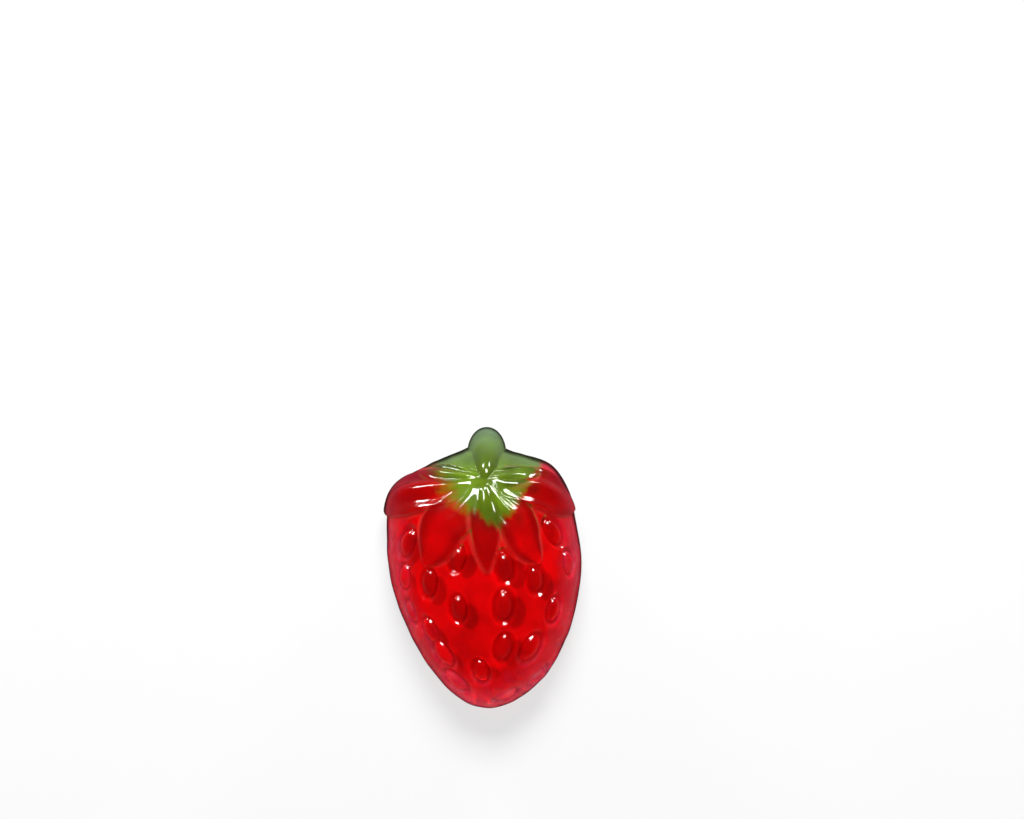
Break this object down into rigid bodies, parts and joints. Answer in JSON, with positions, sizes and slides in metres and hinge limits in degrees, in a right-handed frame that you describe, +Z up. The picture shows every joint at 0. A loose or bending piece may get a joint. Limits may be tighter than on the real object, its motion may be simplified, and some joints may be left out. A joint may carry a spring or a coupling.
{
  "type": "strawberry gummy sweet",
  "caption": "Clear moulded jelly sweet shaped as a flat-backed half strawberry, with raised leaf crown, short stalk and seeds set in shallow dishes.",
  "frame": {"origin": "on the flat back, under the middle of the sweet's bounding box", "axes": "+X across the fruit, +Y along it from its tip to its stalk, +Z up from the flat back towards the moulded side"},
  "size_m": [0.0238, 0.0338, 0.0115],
  "materials": {
    "gel": "clear elastic gel with a glossy oiled surface; strawberry red, running into leaf green at the crown and stalk"
  },
  "bodies": {
    "root": {"gummy": "gel"}
  },
  "joints": []
}
